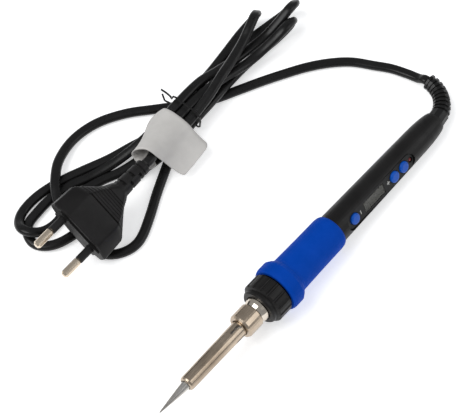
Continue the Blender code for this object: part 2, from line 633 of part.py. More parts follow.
# ---- circuit board ----------------------------------------------------------------
def make_board():
    board = box("main_board", (BOARD_FRONT, -BOARD_HALF_WIDTH, 0.0),
                (BOARD_REAR, BOARD_HALF_WIDTH, BOARD_THICKNESS), BOARD, panel_axis)
    hole = rod_mesh("hole", (CLAMP_PLACE, 0, -1.0), (CLAMP_PLACE, 0, 2.0), 0.95, 12)
    combine(board, cutter_of("board_hole", [hole], panel_axis), "DIFFERENCE")
    back = -GAP
    box("power_triac", (101.0, -3.2, back - 2.3), (107.5, 3.2, back), CHIP, panel_axis)
    box("controller_chip", (113.0, -2.6, back - 1.2), (120.0, 2.6, back), CHIP, panel_axis)
    yellow = ("film capacitor yellow", (0.70, 0.45, 0.06), 0.4)
    box("dropper_capacitor", (128.0, -3.0, back - 4.0), (139.0, 3.0, back), yellow, panel_axis,
        0.5)
    dark = ("capacitor sleeve", (0.04, 0.05, 0.12), 0.35)
    rod("smoothing_capacitor", (146.0, 0, back - 2.3), (157.0, 0, back - 2.3), 2.2, dark,
        panel_axis, 20)
    clear = ("fuse glass", (0.70, 0.72, 0.70), 0.1)
    rod("board_fuse", (163.0, 0, back - 1.5), (172.0, 0, back - 1.5), 1.4, clear, panel_axis, 16)


def make_lead_clamp():
    """Bar that holds the two cores down on the board with one screw."""
    bar = box("cord_clamp", (CLAMP_PLACE - 1.8, -3.7, 2.8), (CLAMP_PLACE + 1.8, 3.7, 3.6),
              BLACK, panel_axis)
    hole = rod_mesh("hole", (CLAMP_PLACE, 0, 2.0), (CLAMP_PLACE, 0, 4.5), 0.95, 12)
    combine(bar, cutter_of("clamp_hole", [hole], panel_axis), "DIFFERENCE")
    head = rod_mesh("head", (CLAMP_PLACE, 0, 3.9), (CLAMP_PLACE, 0, 4.5), 1.4, 16)
    screw = add_object("clamp_screw", head, STEEL, panel_axis)
    shank = rod_mesh("shank", (CLAMP_PLACE, 0, -0.6), (CLAMP_PLACE, 0, 4.1), 0.65, 12)
    combine(screw, cutter_of("clamp_screw_shank", [shank], panel_axis), "UNION")
    colours = {"live_wire": (0.22, 0.10, 0.04), "neutral_wire": (0.02, 0.10, 0.40)}
    for name, side in (("live_wire", 1), ("neutral_wire", -1)):
        route = [(188.2, side * 3.1, 0.0), (184.5, side * 3.1, 0.9), (181.5, side * 2.7, 1.85),
                 (177.0, side * 2.6, 1.9), (172.0, side * 3.4, 1.9)]
        tube(name, thinned(smooth_path(route), FINE_TOLERANCE), 0.6,
             (name, colours[name], 0.45), panel_axis, resolution=1)


# ---- strain relief ----------------------------------------------------------------
def boot_point(distance):
    """Point of the boot's middle line, in the iron's frame. It leaves the tail straight,
    bends level in the plane of the axis, and sinks a little towards the surface."""
    along = min(distance, BOOT_STRAIGHT)
    angle = max(0.0, distance - BOOT_STRAIGHT) / BOOT_BEND_RADIUS
    sideways = BOOT_BEND_RADIUS * (1 - math.cos(angle))
    forward = along + BOOT_BEND_RADIUS * math.sin(angle)
    return Vector((HANDLE_REAR + BOOT_STANDOFF + forward, sideways, sideways * 0.04))


BOOT_LENGTH = BOOT_STRAIGHT + BOOT_BEND_RADIUS * BOOT_BEND_ANGLE


def make_strain_relief():
    """Flange and neck held in the tail, then a ribbed sleeve that bends with the lead."""
    points = [(189.0, 0, 0), (191.6, 0, 0), (191.7, 0, 0), (HANDLE_REAR + BOOT_STANDOFF - 0.05, 0, 0)]
    radii = [4.6, 4.6, 2.9, 2.9]
    plain = 5.0
    rib_pitch = (BOOT_LENGTH - plain) / BOOT_RIB_COUNT
    stations = [(0.0, 0.0), (plain - 0.2, 0.0)]
    for rib in range(BOOT_RIB_COUNT):
        start = plain + rib * rib_pitch
        stations += [(start, BOOT_GROOVE_DEPTH), (start + 0.32 * rib_pitch, BOOT_GROOVE_DEPTH),
                     (start + 0.42 * rib_pitch, 0.0), (start + 0.93 * rib_pitch, 0.0)]
    for distance, depth in stations:
        share = distance / BOOT_LENGTH
        radius = BOOT_BASE_RADIUS + (BOOT_END_RADIUS - BOOT_BASE_RADIUS) * share
        points.append(boot_point(distance))
        radii.append(radius - depth)
    tube("strain_relief", points, 1.0, PVC, iron_axis, radii, resolution=3)


# ---- plug -------------------------------------------------------------------------
def plug_section(place, half_width, half_thick, flat_half, edge_half):
    """Eight-sided section of the plug: a flat raised middle and sloping wings."""
    side = [(flat_half, half_thick), (half_width, edge_half)]
    right = [(y, z) for y, z in side] + [(y, -z) for y, z in reversed(side)]
    left = [(-y, -z) for y, z in side] + [(-y, z) for y, z in reversed(side)]
    return [(place, y, z) for y, z in right + left]


def make_plug():
    """Flat two-pin plug. Its pins point along -X, and its boot ends on the lead."""
    sections = [plug_section(0.0, 17.6, 6.8, 9.6, 2.6), plug_section(12.4, 16.8, 6.8, 9.9, 2.4),
                plug_section(15.0, 14.8, 6.7, 9.6, 2.4), plug_section(21.5, 8.8, 6.0, 6.4, 2.6),
                plug_section(29.0, 5.0, 4.7, 3.0, 2.4), plug_section(31.0, 4.4, 4.3, 1.9, 1.9),
                plug_section(PLUG_BOOT_END, 3.7, 3.7, 1.6, 1.6)]
    body = lofted("plug_body", sections, BLACK, plug_axis)
    seat = box_mesh("seat", (-1.0, -13.3, -4.0), (8.5, 13.3, 4.0))
    combine(body, cutter_of("bridge_seat", [seat], plug_axis), "DIFFERENCE")
    bridge = box("plug_bridge", (-0.8, -13.0, -3.7), (8.2, 13.0, 3.7), BLACK, plug_axis)
    bores = []
    for number, side in ((1, -PIN_SPACING / 2), (2, PIN_SPACING / 2)):
        bores.append(rod_mesh("bore", (-2.0, side, 0), (6.5, side, 0), PIN_RADIUS + GAP, 20))
        pin = [(-PIN_LENGTH + 1.2, PIN_RADIUS), (-PIN_LENGTH + 0.3, PIN_RADIUS - 0.7),
               (-PIN_LENGTH, 0.0)]
        tail = [(6.0, 0.0), (6.0, 1.35), (-PIN_LENGTH + SLEEVE_LENGTH + 0.3, 1.35)]
        neck = [(-PIN_LENGTH + SLEEVE_LENGTH - 0.3, PIN_RADIUS)]
        made = turned("plug_pin_" + str(number), [*tail, *neck, *pin], NICKEL, 20, plug_axis)
        made.location = (0.0, side * MM, 0.0)
        ring = [(3.0, 1.65), (3.0, PIN_RADIUS), (-PIN_LENGTH + SLEEVE_LENGTH + 0.6, PIN_RADIUS),
                (-PIN_LENGTH + SLEEVE_LENGTH + 0.6, 1.65)]
        sleeve = turned("pin_sleeve_" + str(number), ring, BLACK, 20, plug_axis)
        sleeve.location = (0.0, side * MM, 0.0)
    combine(bridge, cutter_of("bridge_bores", bores, plug_axis), "DIFFERENCE")


# ---- lead, tie and label ------------------------------------------------------------
def make_cord():
    """Two-core lead, from the strain relief to the plug, folded into a tied hank."""
    leave = iron_axis.matrix_world @ (boot_point(BOOT_LENGTH + GAP) * MM)
    further = iron_axis.matrix_world @ (boot_point(BOOT_LENGTH + GAP + 2.0) * MM)
    arrive = plug_axis.matrix_world @ Vector(((PLUG_BOOT_END + 0.5) * MM, 0, 0))
    start = [leave / MM, further / MM]
    route = [*start, *[Vector(point) for point in CORD_ROUTE], arrive / MM]
    dense = smooth_path(route)
    for point in dense:
        point.z = max(point.z, CORD_RADIUS + 0.05)
    points = [dense[0], *thinned(dense[2:-2], CORD_TOLERANCE), dense[-1]]
    tube("power_cord", points, CORD_RADIUS, PVC)


def make_tie():
    """Covered wire round the six runs, with its two ends bent out beside the bundle."""
    low, high = 3.5, 15.9
    near, middle, far = 82.5, 91.3, 100.1
    ring = [(0.0, far + 6.0, 10.5), (-1.5, far + 3.2, 9.2), (-0.8, far + 0.6, 8.6),
            (0.0, far, 6.8), (0.0, far - 2.2, low + 0.8), (0.0, middle, low - 0.1),
            (0.0, near + 2.0, low), (0.0, near, 6.0), (0.0, near, 12.4),
            (0.0, near + 2.4, high - 0.3), (0.0, middle, high - 0.3),
            (0.0, far - 2.0, high), (0.0, far, 12.5), (0.9, far + 0.7, 10.4),
            (1.6, far + 3.4, 10.6), (0.8, far + 7.5, 12.0)]
    route = [(TIE_X + x, y, z) for x, y, z in ring]
    tube("twist_tie", thinned(smooth_path(route), FINE_TOLERANCE), TIE_WIRE_RADIUS,
         PVC, resolution=1)


# Outlines of the label across the bundle, from the edge of the flag over the runs,
# round under them, and back to the edge of the flag. The first one is pushed askew by the
# end of the plug's boot.
LABEL_SECTIONS = [
    [(-9.6, 70.2, 6.8), (-10.1, 73.2, 7.3), (-11.1, 76.2, 8.2), (-13.1, 79.2, 10.8),
     (-16.1, 80.6, 15.0), (-18.6, 80.4, 19.2), (-19.1, 83.4, 21.8), (-19.1, 87.2, 19.8),
     (-18.1, 92.7, 14.6), (-16.6, 98.7, 10.2), (-15.6, 103.0, 7.2), (-15.1, 105.6, 3.6),
     (-15.1, 105.0, 0.7), (-15.1, 101.7, 0.2), (-15.1, 92.2, 0.2), (-14.1, 82.2, 0.2),
     (-13.1, 77.8, 0.2), (-12.1, 76.1, 1.6), (-11.3, 75.2, 4.4), (-10.7, 74.8, 6.4),
     (-10.1, 73.2, 6.6), (-9.7, 70.4, 6.1)],
    [(-1.8, 70.5, 6.9), (-1.8, 72.2, 7.3), (-1.8, 75.2, 8.2), (-1.8, 79.0, 10.2),
     (-1.8, 81.8, 12.4), (-1.8, 84.4, 14.8), (-1.8, 87.2, 16.2), (-1.8, 89.7, 16.3),
     (-1.8, 93.2, 14.8), (-1.8, 98.2, 11.9), (-1.8, 101.0, 9.4), (-1.8, 102.6, 6.0),
     (-1.8, 102.3, 1.6), (-1.8, 99.2, 0.35), (-1.8, 91.7, 0.35), (-1.8, 85.7, 0.4),
     (-1.8, 82.8, 2.0), (-1.8, 80.6, 4.6), (-1.8, 78.8, 7.4), (-1.8, 75.2, 7.1),
     (-1.8, 72.2, 6.5), (-1.8, 70.7, 6.1)],
    [(10.4, 71.2, 8.6), (10.4, 73.2, 8.9), (10.4, 75.7, 9.4), (10.4, 78.7, 10.6),
     (10.4, 81.4, 12.3), (10.4, 83.6, 13.8), (10.4, 86.2, 14.5), (10.4, 88.7, 14.9),
     (10.4, 93.2, 14.9), (10.4, 97.7, 14.3), (10.4, 99.6, 12.0), (10.4, 99.8, 8.0),
     (10.4, 99.4, 4.4), (10.4, 97.2, 2.9), (10.4, 91.2, 2.7), (10.4, 85.7, 2.6),
     (10.4, 83.1, 4.0), (10.4, 81.8, 6.6), (10.4, 79.2, 8.9), (10.4, 75.8, 8.7),
     (10.4, 73.2, 8.2), (10.4, 71.4, 7.9)],
]


def make_label():
    """Blank paper flag wrapped loosely round the bundle behind the plug."""
    bm = bmesh.new()
    rows = []
    for section in LABEL_SECTIONS:
        rows.append([bm.verts.new(Vector(point) * MM) for point in section])
    for near, far in zip(rows, rows[1:]):
        for place in range(len(near) - 1):
            bm.faces.new((near[place], near[place + 1], far[place + 1], far[place]))
    mesh = bpy.data.meshes.new("cord_label")
    bm.to_mesh(mesh)
    bm.free()
    label = add_object("cord_label", mesh, PAPER)
    thick = label.modifiers.new("paper", "SOLIDIFY")
    thick.thickness = LABEL_THICKNESS * MM
    thick.offset = 0.0


make_tip()
make_barrel()
make_barrel_nut()
make_threaded_collar()
make_heater()
make_union_nut()
make_grip()
make_handle()
make_cover_screw()
make_panel()
for button_label, button_place in BUTTON_PLACES.items():
    make_button(button_label, button_place)
make_lamp()
make_board()
make_lead_clamp()
make_strain_relief()
bpy.context.view_layer.update()
make_plug()
make_cord()
make_tie()
make_label()
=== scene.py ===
"""Looks of the soldering iron: materials, the flat lead, the plug's moulding, the label
and the marks on the panel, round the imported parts. Lengths are metres."""
import math

import bmesh
import bpy
from mathutils import Matrix, Vector


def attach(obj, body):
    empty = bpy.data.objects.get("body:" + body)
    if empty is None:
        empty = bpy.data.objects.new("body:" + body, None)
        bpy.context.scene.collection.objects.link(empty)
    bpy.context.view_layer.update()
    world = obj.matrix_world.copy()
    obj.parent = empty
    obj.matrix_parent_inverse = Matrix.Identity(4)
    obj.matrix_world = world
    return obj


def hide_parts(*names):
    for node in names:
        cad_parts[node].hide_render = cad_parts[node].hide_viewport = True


MM = 0.001

# ---- view ---------------------------------------------------------------------------
LENS = 150.0
CAMERA_ELEVATION = math.radians(61.0)
CAMERA_HEADING = math.radians(-50.3)
CAMERA_TARGET = Vector((-5.6, 45.0, 0.0)) * MM
CAMERA_DISTANCE = 0.900
LIGHT_TARGET = (0, 0.04, 0)
FLOOR_HEIGHT = -0.0002

# ---- where things are, as in the parts' own source ----------------------------------
TIP_POINT = Vector((-109.3, -2.1, 0.0)) * MM
COLLAR_RADIUS, COLLAR_END = 12.0, 84.5
TAIL_RADIUS, TAIL_PLACE = 6.6, 190.0
TILT = math.atan2(COLLAR_RADIUS - TAIL_RADIUS, TAIL_PLACE - COLLAR_END)
TIP_POINT.z = (COLLAR_RADIUS * math.cos(TILT) + COLLAR_END * math.sin(TILT)) * MM
PANEL_ROLL = math.radians(60.0)
HANDLE_REAR = 199.5
BOOT_STANDOFF = 0.4
BOOT_STRAIGHT = 0.5
BOOT_BEND_RADIUS = 15.5
BOOT_BEND_ANGLE = math.radians(92.0)
BOOT_LENGTH = BOOT_STRAIGHT + BOOT_BEND_RADIUS * BOOT_BEND_ANGLE
GAP = 0.3
PLUG_FACE = Vector((-67.7, 83.8, 17.8)) * MM
PLUG_ROLL = math.radians(32.0)
PLUG_BOOT_END = 46.0
CORD_WIDTH = 4.9
CORD_THICKNESS = 3.5
CORD_RING_POINTS = 20
CORD_LOWERING = 0.45
CORD_FLOOR_GAP = 0.05
CORD_BLEND_PLACES = 12
CORD_STEP = 1.3

IRON = Matrix.Translation(TIP_POINT) @ Matrix.Rotation(TILT, 4, "Y")
PANEL = IRON @ Matrix.Rotation(PANEL_ROLL, 4, "X")
PLUG = Matrix.Translation(PLUG_FACE) @ Matrix.Rotation(PLUG_ROLL, 4, "X")

# The lead's route, in millimetres.
CORD_ROUTE = [
    # out of the strain relief and along the surface
    (106.1, 19.2, 3.9), (105.3, 26.0, 2.7), (103.1, 33.5, 2.3), (99.1, 41.1, 2.3),
    (93.8, 50.7, 2.3), (86.5, 58.6, 2.3), (77.5, 65.6, 2.3), (67.5, 71.6, 2.3),
    (57.5, 77.1, 2.3), (46.5, 82.6, 2.3), (35.5, 88.1, 2.3), (27.3, 93.5, 2.3),
    (20.1, 99.6, 2.3), (11.9, 106.9, 2.3), (0.9, 116.2, 2.3), (-12.1, 123.2, 2.3),
    (-26.1, 125.2, 3.2), (-39.7, 121.8, 5.6),
    # over the two left loops and under the plug
    (-49.4, 115.3, 7.1), (-55.9, 108.5, 7.1), (-60.1, 101.3, 7.1), (-62.4, 93.8, 7.0),
    (-63.8, 86.6, 6.8), (-64.1, 79.4, 4.0), (-62.2, 73.0, 2.5), (-57.6, 68.2, 2.3),
    (-51.1, 65.6, 2.3), (-44.0, 66.2, 2.3), (-33.5, 70.5, 2.3), (-22.5, 75.8, 2.3),
    (-11.3, 80.3, 3.7), (-1.1, 83.7, 7.4), (7.9, 86.0, 10.4),
    # through the tie, over the other runs, to the first upper fold
    (16.9, 86.3, 11.9), (28.9, 87.0, 14.0), (40.9, 89.0, 15.6), (51.9, 91.5, 14.2),
    (62.9, 94.2, 13.6), (70.9, 96.5, 15.4), (76.7, 98.4, 16.0), (80.9, 100.2, 12.6),
    (81.3, 101.6, 7.6), (77.5, 102.8, 3.6), (70.9, 102.8, 2.4), (60.9, 101.6, 2.3),
    # back through the tie and round the outer left loop
    (47.9, 100.0, 2.5), (36.4, 98.4, 4.6), (26.9, 97.0, 7.0), (17.4, 96.3, 7.3),
    (7.9, 96.5, 5.6), (-2.1, 98.2, 3.6), (-12.1, 101.6, 3.1), (-23.3, 105.4, 2.45),
    (-35.3, 110.5, 2.3), (-47.3, 115.1, 2.3), (-59.3, 117.8, 2.3), (-69.2, 117.6, 2.4),
    (-75.7, 114.4, 4.2), (-78.5, 109.4, 6.8), (-76.5, 104.3, 6.8), (-71.5, 102.0, 4.2),
    (-64.7, 101.4, 2.4), (-57.5, 102.4, 2.3), (-49.1, 104.3, 2.3),
    # third run, through the tie to the second upper fold
    (-35.1, 100.7, 2.3), (-25.1, 96.5, 2.5), (-15.1, 93.8, 2.95), (-5.1, 92.0, 3.2),
    (5.9, 91.3, 5.0), (16.9, 91.3, 6.9), (26.9, 91.8, 7.1), (35.9, 92.7, 5.6),
    (45.9, 94.6, 3.0), (57.9, 96.6, 2.3), (70.9, 97.3, 2.3), (84.9, 95.3, 2.3),
    (93.3, 93.3, 3.7), (97.9, 91.4, 8.0), (97.1, 89.3, 13.2), (91.7, 88.4, 15.6),
    (84.9, 88.8, 12.6), (76.4, 90.2, 8.2), (65.9, 91.8, 7.2),
    # back over the bundle and round the inner left loop
    (53.9, 93.6, 7.4), (43.9, 95.4, 8.4), (34.9, 96.5, 10.8), (25.9, 96.5, 12.1),
    (16.9, 96.3, 12.2), (6.9, 96.6, 10.6), (-3.1, 97.3, 8.2), (-13.1, 98.6, 6.4),
    (-24.1, 101.5, 3.9), (-35.1, 105.4, 2.4), (-46.1, 110.0, 2.3), (-57.1, 112.1, 2.3),
    (-66.1, 112.0, 2.3), (-73.1, 111.0, 2.3), (-77.5, 107.4, 2.3), (-79.1, 102.2, 2.3),
    (-76.8, 97.2, 2.3), (-71.5, 93.4, 2.3), (-63.5, 91.0, 2.3), (-54.1, 90.2, 2.3),
    # last run, through the tie to the third upper fold, and back to the plug
    (-43.1, 90.0, 2.3), (-31.1, 91.3, 2.4), (-19.1, 89.3, 2.85), (-7.1, 87.3, 3.1),
    (4.9, 86.3, 4.6), (16.9, 86.3, 6.9), (26.9, 86.5, 7.4), (36.9, 87.1, 7.1),
    (46.9, 88.4, 4.6), (57.9, 89.2, 2.7), (68.9, 88.7, 2.3), (78.9, 87.8, 2.3),
    (86.3, 86.8, 4.0), (89.9, 85.2, 8.6), (87.7, 83.7, 13.4), (81.9, 83.3, 14.6),
    (74.9, 84.3, 11.8), (65.9, 86.0, 8.6), (57.9, 87.3, 7.6), (48.9, 88.8, 8.8),
    (38.9, 90.2, 10.4), (27.9, 91.0, 11.8), (16.9, 91.3, 11.9), (6.9, 90.9, 11.8),
    (-3.1, 88.9, 13.4), (-12.1, 85.6, 16.4), (-17.1, 83.8, 17.8),
]

# Three lines along the paper flag, in millimetres: from its free edge over the bundle and
# down the far side. The first one curls back round the lead beside the plug's boot.
FLAG_LINES = [
    [(-9.6, 70.2, 6.8), (-10.1, 73.2, 7.6), (-11.0, 76.4, 9.4), (-12.0, 79.6, 12.2),
     (-14.4, 82.0, 18.0), (-15.4, 84.7, 20.9), (-16.2, 87.7, 21.2), (-17.8, 90.7, 20.0),
     (-18.5, 93.0, 17.0), (-18.8, 94.0, 13.0), (-19.0, 92.0, 10.2), (-19.2, 88.6, 9.4),
     (-19.2, 85.4, 9.6), (-18.0, 82.6, 11.4), (-16.0, 81.4, 13.6)],
    [(-1.8, 70.5, 6.9), (-1.8, 72.2, 7.3), (-1.8, 75.2, 8.2), (-1.8, 79.0, 10.2),
     (-1.8, 81.8, 12.4), (-1.8, 84.4, 14.8), (-1.8, 87.2, 16.2), (-1.8, 89.7, 16.2),
     (-1.8, 93.0, 14.9), (-1.8, 96.8, 13.0), (-1.8, 99.0, 11.0), (-1.8, 99.9, 9.2),
     (-1.8, 100.2, 7.6), (-1.8, 100.2, 6.2), (-1.8, 100.0, 5.0)],
    [(10.4, 71.2, 8.6), (10.4, 73.2, 8.9), (10.4, 75.7, 9.4), (10.4, 78.7, 10.6),
     (10.4, 81.4, 12.3), (10.4, 83.6, 13.8), (10.4, 86.2, 14.5), (10.4, 88.7, 14.9),
     (10.4, 93.2, 14.9), (10.3, 97.5, 13.9), (10.0, 99.6, 12.0), (9.6, 100.4, 9.6),
     (9.2, 100.4, 8.0), (8.8, 100.2, 6.6), (8.4, 99.8, 5.2)],
]
FLAG_CORNER = 2.0
FLAG_WIDTH = 21.0
FLAG_THICKNESS = 0.45
FLAG_STEPS_ALONG = 6
FLAG_STEPS_ACROSS = 14

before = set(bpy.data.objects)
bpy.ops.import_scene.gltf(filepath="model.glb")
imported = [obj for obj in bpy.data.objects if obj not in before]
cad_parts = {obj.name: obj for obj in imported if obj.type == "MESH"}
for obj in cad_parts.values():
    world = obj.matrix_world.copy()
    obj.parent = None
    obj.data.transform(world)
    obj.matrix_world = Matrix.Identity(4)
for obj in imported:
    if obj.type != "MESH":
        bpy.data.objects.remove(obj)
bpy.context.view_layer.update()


# ---- camera and light ---------------------------------------------------------------
def make_camera():
    """The photo's view of the part."""
    camera = bpy.data.cameras.new("camera")
    camera.sensor_width = 36.0
    camera.lens = LENS
    camera.clip_start = 0.01
    made = bpy.data.objects.new("camera", camera)
    bpy.context.scene.collection.objects.link(made)
    level = math.cos(CAMERA_ELEVATION)
    back = Vector((math.sin(CAMERA_HEADING) * level, -math.cos(CAMERA_HEADING) * level,
                   math.sin(CAMERA_ELEVATION)))
    made.location = CAMERA_TARGET + back * CAMERA_DISTANCE
    made.rotation_euler = (math.pi / 2 - CAMERA_ELEVATION, 0.0, CAMERA_HEADING)
    bpy.context.scene.camera = made


def area_light(name, place, size, power):
    """A white rectangular light aimed at the middle of the part."""
    light = bpy.data.lights.new(name, "AREA")
    light.shape = "RECTANGLE"
    light.size, light.size_y = size
    light.energy = power
    made = bpy.data.objects.new(name, light)
    bpy.context.scene.collection.objects.link(made)
    made.location = place
    aim = Vector(place) - Vector(LIGHT_TARGET)
    made.rotation_euler = aim.to_track_quat("Z", "Y").to_euler()


def make_stage():
    """White floor, soft surroundings and two lights."""
    bm = bmesh.new()
    bmesh.ops.create_grid(bm, x_segments=1, y_segments=1, size=6.0)
    mesh = bpy.data.meshes.new("floor")
    bm.to_mesh(mesh)
    bm.free()
    floor = bpy.data.objects.new("floor", mesh)
    floor.location.z = FLOOR_HEIGHT
    bpy.context.scene.collection.objects.link(floor)
    made = bpy.data.materials.new("floor")
    made.use_nodes = True
    shader = made.node_tree.nodes["Principled BSDF"]
    shader.inputs["Base Color"].default_value = (0.92, 0.92, 0.92, 1.0)
    shader.inputs["Roughness"].default_value = 0.9
    shader.inputs["Specular IOR Level"].default_value = 0.1
    shader.inputs["Emission Color"].default_value = (1.0, 1.0, 1.0, 1.0)
    shader.inputs["Emission Strength"].default_value = 0.45
    mesh.materials.append(made)
    world = bpy.data.worlds.new("studio")
    world.use_nodes = True
    backdrop = world.node_tree.nodes["Background"]
    backdrop.inputs["Color"].default_value = (0.95, 0.97, 1.0, 1.0)
    backdrop.inputs["Strength"].default_value = 0.42
    bpy.context.scene.world = world
    bpy.context.scene.view_settings.view_transform = "Standard"
    area_light("key", (-0.45, 0.35, 0.9), (0.7, 0.7), 7.0)
    area_light("fill", (0.6, -0.6, 0.7), (0.8, 0.8), 3.0)


make_camera()
make_stage()


# ---- materials ----------------------------------------------------------------------
class Nodes:
    """A material's node tree, with short ways to add the nodes used here."""

    def __init__(self, name):
        self.material = bpy.data.materials.new(name)
        self.material.use_nodes = True
        self.tree = self.material.node_tree
        self.shader = self.tree.nodes["Principled BSDF"]
        self.place = self.tree.nodes.new("ShaderNodeTexCoord").outputs["Object"]

    def link(self, source, target):
        self.tree.links.new(source, target)

    def noise(self, scale, detail=4.0, roughness=0.6, stretch=(1, 1, 1), turn=(0, 0, 0)):
        mapping = self.tree.nodes.new("ShaderNodeMapping")
        mapping.inputs["Scale"].default_value = stretch
        mapping.inputs["Rotation"].default_value = turn
        self.link(self.place, mapping.inputs["Vector"])
        noise = self.tree.nodes.new("ShaderNodeTexNoise")
        noise.inputs["Scale"].default_value = scale
        noise.inputs["Detail"].default_value = detail
        noise.inputs["Roughness"].default_value = roughness
        self.link(mapping.outputs["Vector"], noise.inputs["Vector"])
        return noise.outputs["Fac"]

    def ramp(self, source, stops):
        """A colour ramp; a stop is (place, grey or colour)."""
        ramp = self.tree.nodes.new("ShaderNodeValToRGB")
        elements = ramp.color_ramp.elements
        while len(elements) < len(stops):
            elements.new(0.5)
        for element, (place, value) in zip(elements, stops):
            colour = value if isinstance(value, tuple) else (value, value, value)
            element.position = place
            element.color = (*colour, 1.0)
        self.link(source, ramp.inputs["Fac"])
        return ramp.outputs["Color"]

    def bump(self, source, depth, strength=1.0, after=None):
        bump = self.tree.nodes.new("ShaderNodeBump")
        bump.inputs["Distance"].default_value = depth
        bump.inputs["Strength"].default_value = strength
        self.link(source, bump.inputs["Height"])
        if after is not None:
            self.link(after, bump.inputs["Normal"])
        self.link(bump.outputs["Normal"], self.shader.inputs["Normal"])
        return bump.outputs["Normal"]

    def mix(self, kind, factor, one, two):
        mix = self.tree.nodes.new("ShaderNodeMix")
        mix.data_type = "RGBA"
        mix.blend_type = kind
        for value, socket in ((factor, mix.inputs["Factor"]), (one, mix.inputs["A"]),
                              (two, mix.inputs["B"])):
            if isinstance(value, bpy.types.NodeSocket):
                self.link(value, socket)
            elif isinstance(value, tuple):
                socket.default_value = (*value, 1.0)
            else:
                socket.default_value = value
        return mix.outputs["Result"]

    def edges(self, sharp=0.64, soft=0.57):
        """White on worn outer edges, from the pointiness of the surface."""
        geometry = self.tree.nodes.new("ShaderNodeNewGeometry")
        return self.ramp(geometry.outputs["Pointiness"], [(soft, 0.0), (sharp, 1.0)])


def moulded(name, colour, roughness, grain=0.00003, grain_scale=2500.0, wear=0.03,
            specular=0.5, mottled=0.12):
    """Moulded plastic or rubber: fine grain, faint mottling, handling marks, paler edges."""
    nodes = Nodes(name)
    dark = tuple(channel * (1.0 - mottled) for channel in colour)
    light = tuple(min(1.0, channel * (1.0 + mottled) + 0.002) for channel in colour)
    base = nodes.ramp(nodes.noise(90.0, 5.0), [(0.35, dark), (0.65, light)])
    worn = tuple(min(1.0, channel + wear) for channel in colour)
    nodes.link(nodes.mix("MIX", nodes.edges(), base, worn), nodes.shader.inputs["Base Color"])
    rough = nodes.ramp(nodes.noise(260.0, 6.0, 0.7),
                       [(0.3, max(0.05, roughness - 0.08)), (0.7, min(1.0, roughness + 0.08))])
    nodes.link(rough, nodes.shader.inputs["Roughness"])
    nodes.bump(nodes.noise(grain_scale, 3.0, 0.5), grain, 0.5)
    nodes.shader.inputs["Specular IOR Level"].default_value = specular
    return nodes.material


def metal(name, colour, roughness, tarnish, tarnish_amount=0.5, brushed=(1, 1, 1),
          scratch_scale=900.0):
    """Plated or drawn metal with tarnish clouds and fine lines along the brushing."""
    nodes = Nodes(name)
    clouds = nodes.ramp(nodes.noise(70.0, 6.0, 0.65), [(0.4, 0.0), (0.75, tarnish_amount)])
    nodes.link(nodes.mix("MIX", clouds, colour, tarnish), nodes.shader.inputs["Base Color"])
    nodes.shader.inputs["Metallic"].default_value = 1.0
    lines = nodes.noise(scratch_scale, 3.0, 0.5, brushed, (0, TILT, 0))
    nodes.link(nodes.ramp(lines, [(0.3, roughness * 0.7), (0.7, roughness * 1.4)]),
               nodes.shader.inputs["Roughness"])
    nodes.bump(lines, 0.00001, 0.4)
    return nodes.material


def clear(name, colour, roughness, alpha):
    """Clear or smoked material with faint smears."""
    nodes = Nodes(name)
    smears = nodes.ramp(nodes.noise(300.0, 5.0), [(0.4, roughness), (0.8, roughness + 0.15)])
    nodes.link(smears, nodes.shader.inputs["Roughness"])
    shade = tuple(channel * 0.93 for channel in colour)
    tint = nodes.ramp(nodes.noise(60.0), [(0.3, colour), (0.7, shade)])
    nodes.link(tint, nodes.shader.inputs["Base Color"])
    nodes.shader.inputs["Alpha"].default_value = alpha
    return nodes.material


BLACK = moulded("black plastic", (0.0065, 0.006, 0.0058), 0.40, wear=0.006, specular=0.20)
PLUG_BLACK = moulded("plug black", (0.006, 0.0055, 0.0055), 0.42, 0.00004, 1800.0, 0.006,
                     specular=0.18)
FLEX = moulded("flexible black", (0.005, 0.0048, 0.0048), 0.30, 0.00003, 1500.0, 0.004,
               specular=0.26)
SILICONE = moulded("blue silicone", (0.0, 0.050, 0.37), 0.58, 0.00003, 2600.0, 0.0,
                   specular=0.04, mottled=0.06)
KEY_BLUE = moulded("key blue", (0.0, 0.075, 0.43), 0.34, 0.00001, 2000.0, 0.0,
                   specular=0.25, mottled=0.05)
PANEL_GREY = moulded("panel film", (0.010, 0.010, 0.010), 0.5, 0.00002, 3000.0, 0.004,
                     specular=0.2)
MARK = moulded("mark white", (0.45, 0.45, 0.43), 0.55, wear=0.0)
NICKEL = metal("nickel", (0.46, 0.38, 0.295), 0.25, (0.22, 0.16, 0.11), 0.6, (0.15, 1, 1))
COLLAR_NICKEL = metal("bright nickel", (0.62, 0.56, 0.48), 0.14, (0.42, 0.35, 0.27), 0.3)
TIP_PLATE = metal("tip plate", (0.52, 0.50, 0.47), 0.24, (0.28, 0.25, 0.22), 0.5, (0.1, 1, 1))
PIN_PLATE = metal("pin plate", (0.68, 0.58, 0.46), 0.18, (0.44, 0.36, 0.27), 0.35, (0.2, 1, 1))
SCREW = metal("zinc", (0.50, 0.50, 0.49), 0.3, (0.34, 0.34, 0.32), 0.4)
CERAMIC = moulded("ceramic", (0.60, 0.57, 0.51), 0.5, 0.00003, 1500.0, 0.02)
BOARD_GREEN = moulded("board green", (0.010, 0.10, 0.035), 0.4, 0.00003, 900.0, 0.01)
CHIP = moulded("chip epoxy", (0.012, 0.012, 0.012), 0.5, wear=0.005, specular=0.3)
YELLOW = moulded("capacitor yellow", (0.48, 0.28, 0.035), 0.35)
SLEEVE = moulded("capacitor sleeve", (0.02, 0.026, 0.07), 0.3, wear=0.01)
BROWN = moulded("core brown", (0.12, 0.05, 0.02), 0.4)
BLUE_CORE = moulded("core blue", (0.012, 0.06, 0.24), 0.4)
LAMP = moulded("lamp red", (0.20, 0.022, 0.018), 0.3, 0.00001, wear=0.01)
